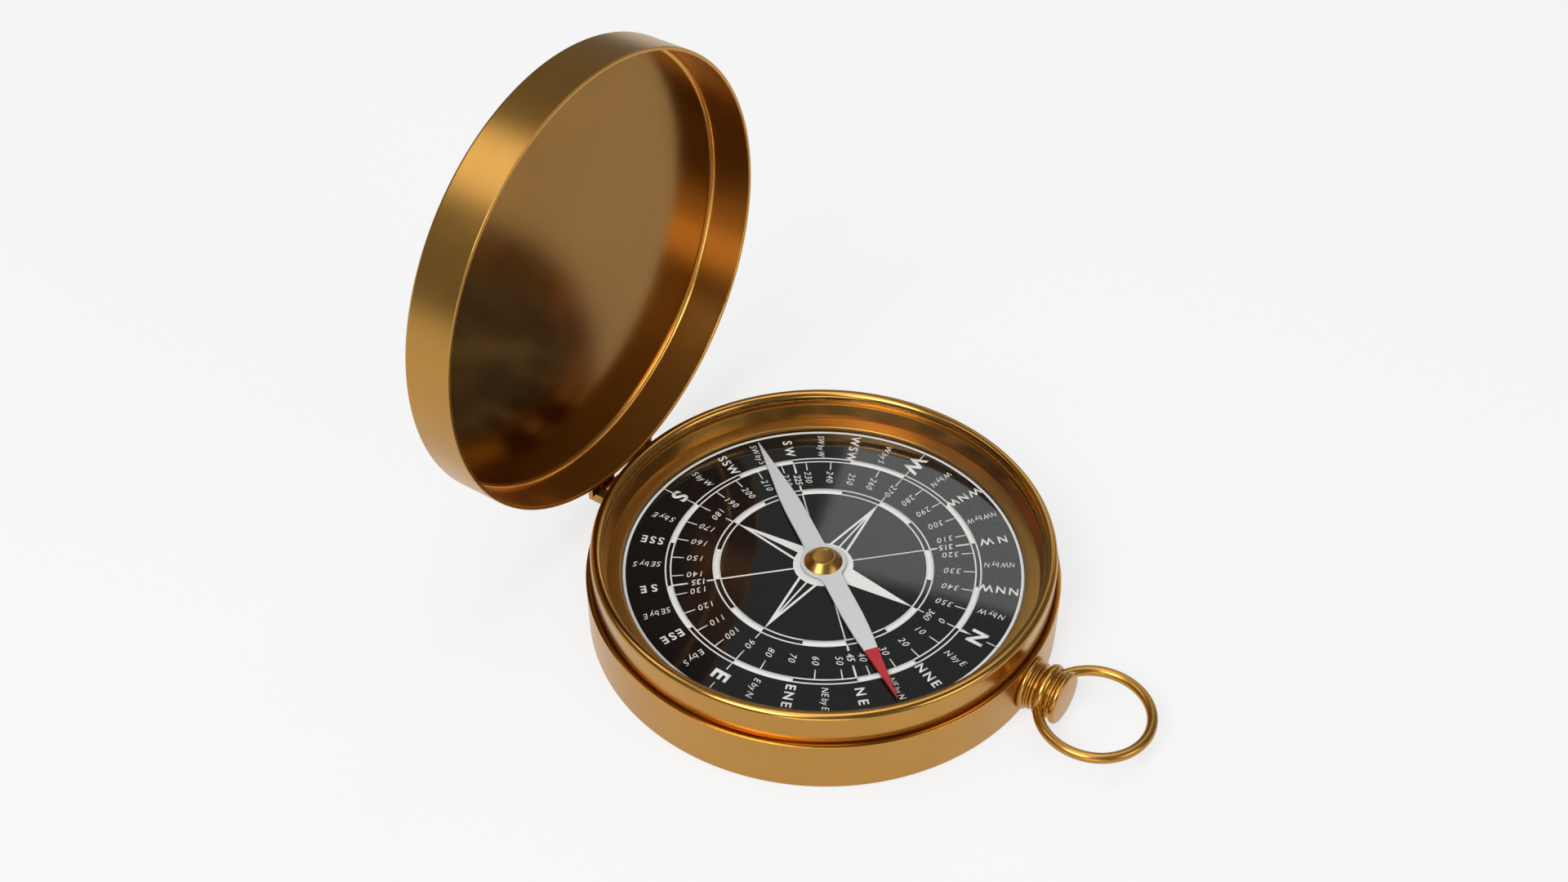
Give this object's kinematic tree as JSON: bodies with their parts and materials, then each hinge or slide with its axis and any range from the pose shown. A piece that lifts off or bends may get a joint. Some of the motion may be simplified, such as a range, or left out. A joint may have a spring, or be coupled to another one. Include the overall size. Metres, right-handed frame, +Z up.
{
  "type": "pocket compass",
  "caption": "Round brass pocket compass with a hinged pan lid open upright, a black rose dial under glass, a pivoted needle with a red tip, and a beaded pendant with a wire bow.",
  "frame": {"origin": "centre of the flat base face", "axes": "+Z up through the needle pivot, +Y towards the lid hinge, -Y towards the pendant and bow"},
  "size_m": [0.06, 0.0843, 0.068],
  "materials": {
    "satin_brass": "satin",
    "polished_brass": "polished",
    "plain_brass": "plain turned",
    "dial_black": "semi-gloss",
    "needle_steel": "satin",
    "pivot_steel": "hardened",
    "crystal_glass": "clear",
    "gasket_rubber": "matt",
    "jewel_stone": "polished"
  },
  "bodies": {
    "case": {"case_cup": "satin_brass", "bezel_ring": "polished_brass", "crystal_gasket": "gasket_rubber", "crystal": "crystal_glass", "reflector_ring": "polished_brass", "dial_ring": "polished_brass", "dial_plate": "dial_black", "spacer_ring": "plain_brass", "base_plate": "plain_brass", "pivot_post": "plain_brass", "pivot_pin": "pivot_steel", "pendant_stem": "polished_brass", "pendant_nut": "plain_brass", "case_hinge_left": "satin_brass", "case_hinge_right": "satin_brass", "hinge_pin_left": "plain_brass", "hinge_pin_right": "plain_brass"},
    "lid": {"lid_shell": "satin_brass", "lid_hinge_left": "satin_brass", "lid_hinge_right": "satin_brass"},
    "compass_needle": {"needle": "needle_steel", "needle_cap": "polished_brass", "needle_jewel": "jewel_stone"},
    "bow": {"bow_ring": "polished_brass"}
  },
  "joints": [
    {"name": "lid_swing", "type": "hinge", "parent": "case", "child": "lid", "pos_m": [0, 0.031, 0.007], "axis": [-1, 0, 0], "range_deg": [-90, 0]},
    {"name": "needle_spin", "type": "hinge", "parent": "case", "child": "compass_needle", "pos_m": [0, 0, 0.00795], "axis": [0, 0, 1], "continuous": true},
    {"name": "bow_swing", "type": "hinge", "parent": "case", "child": "bow", "pos_m": [0, -0.033, 0.00367], "axis": [-1, 0, 0], "range_deg": [-100, 100]}
  ]
}
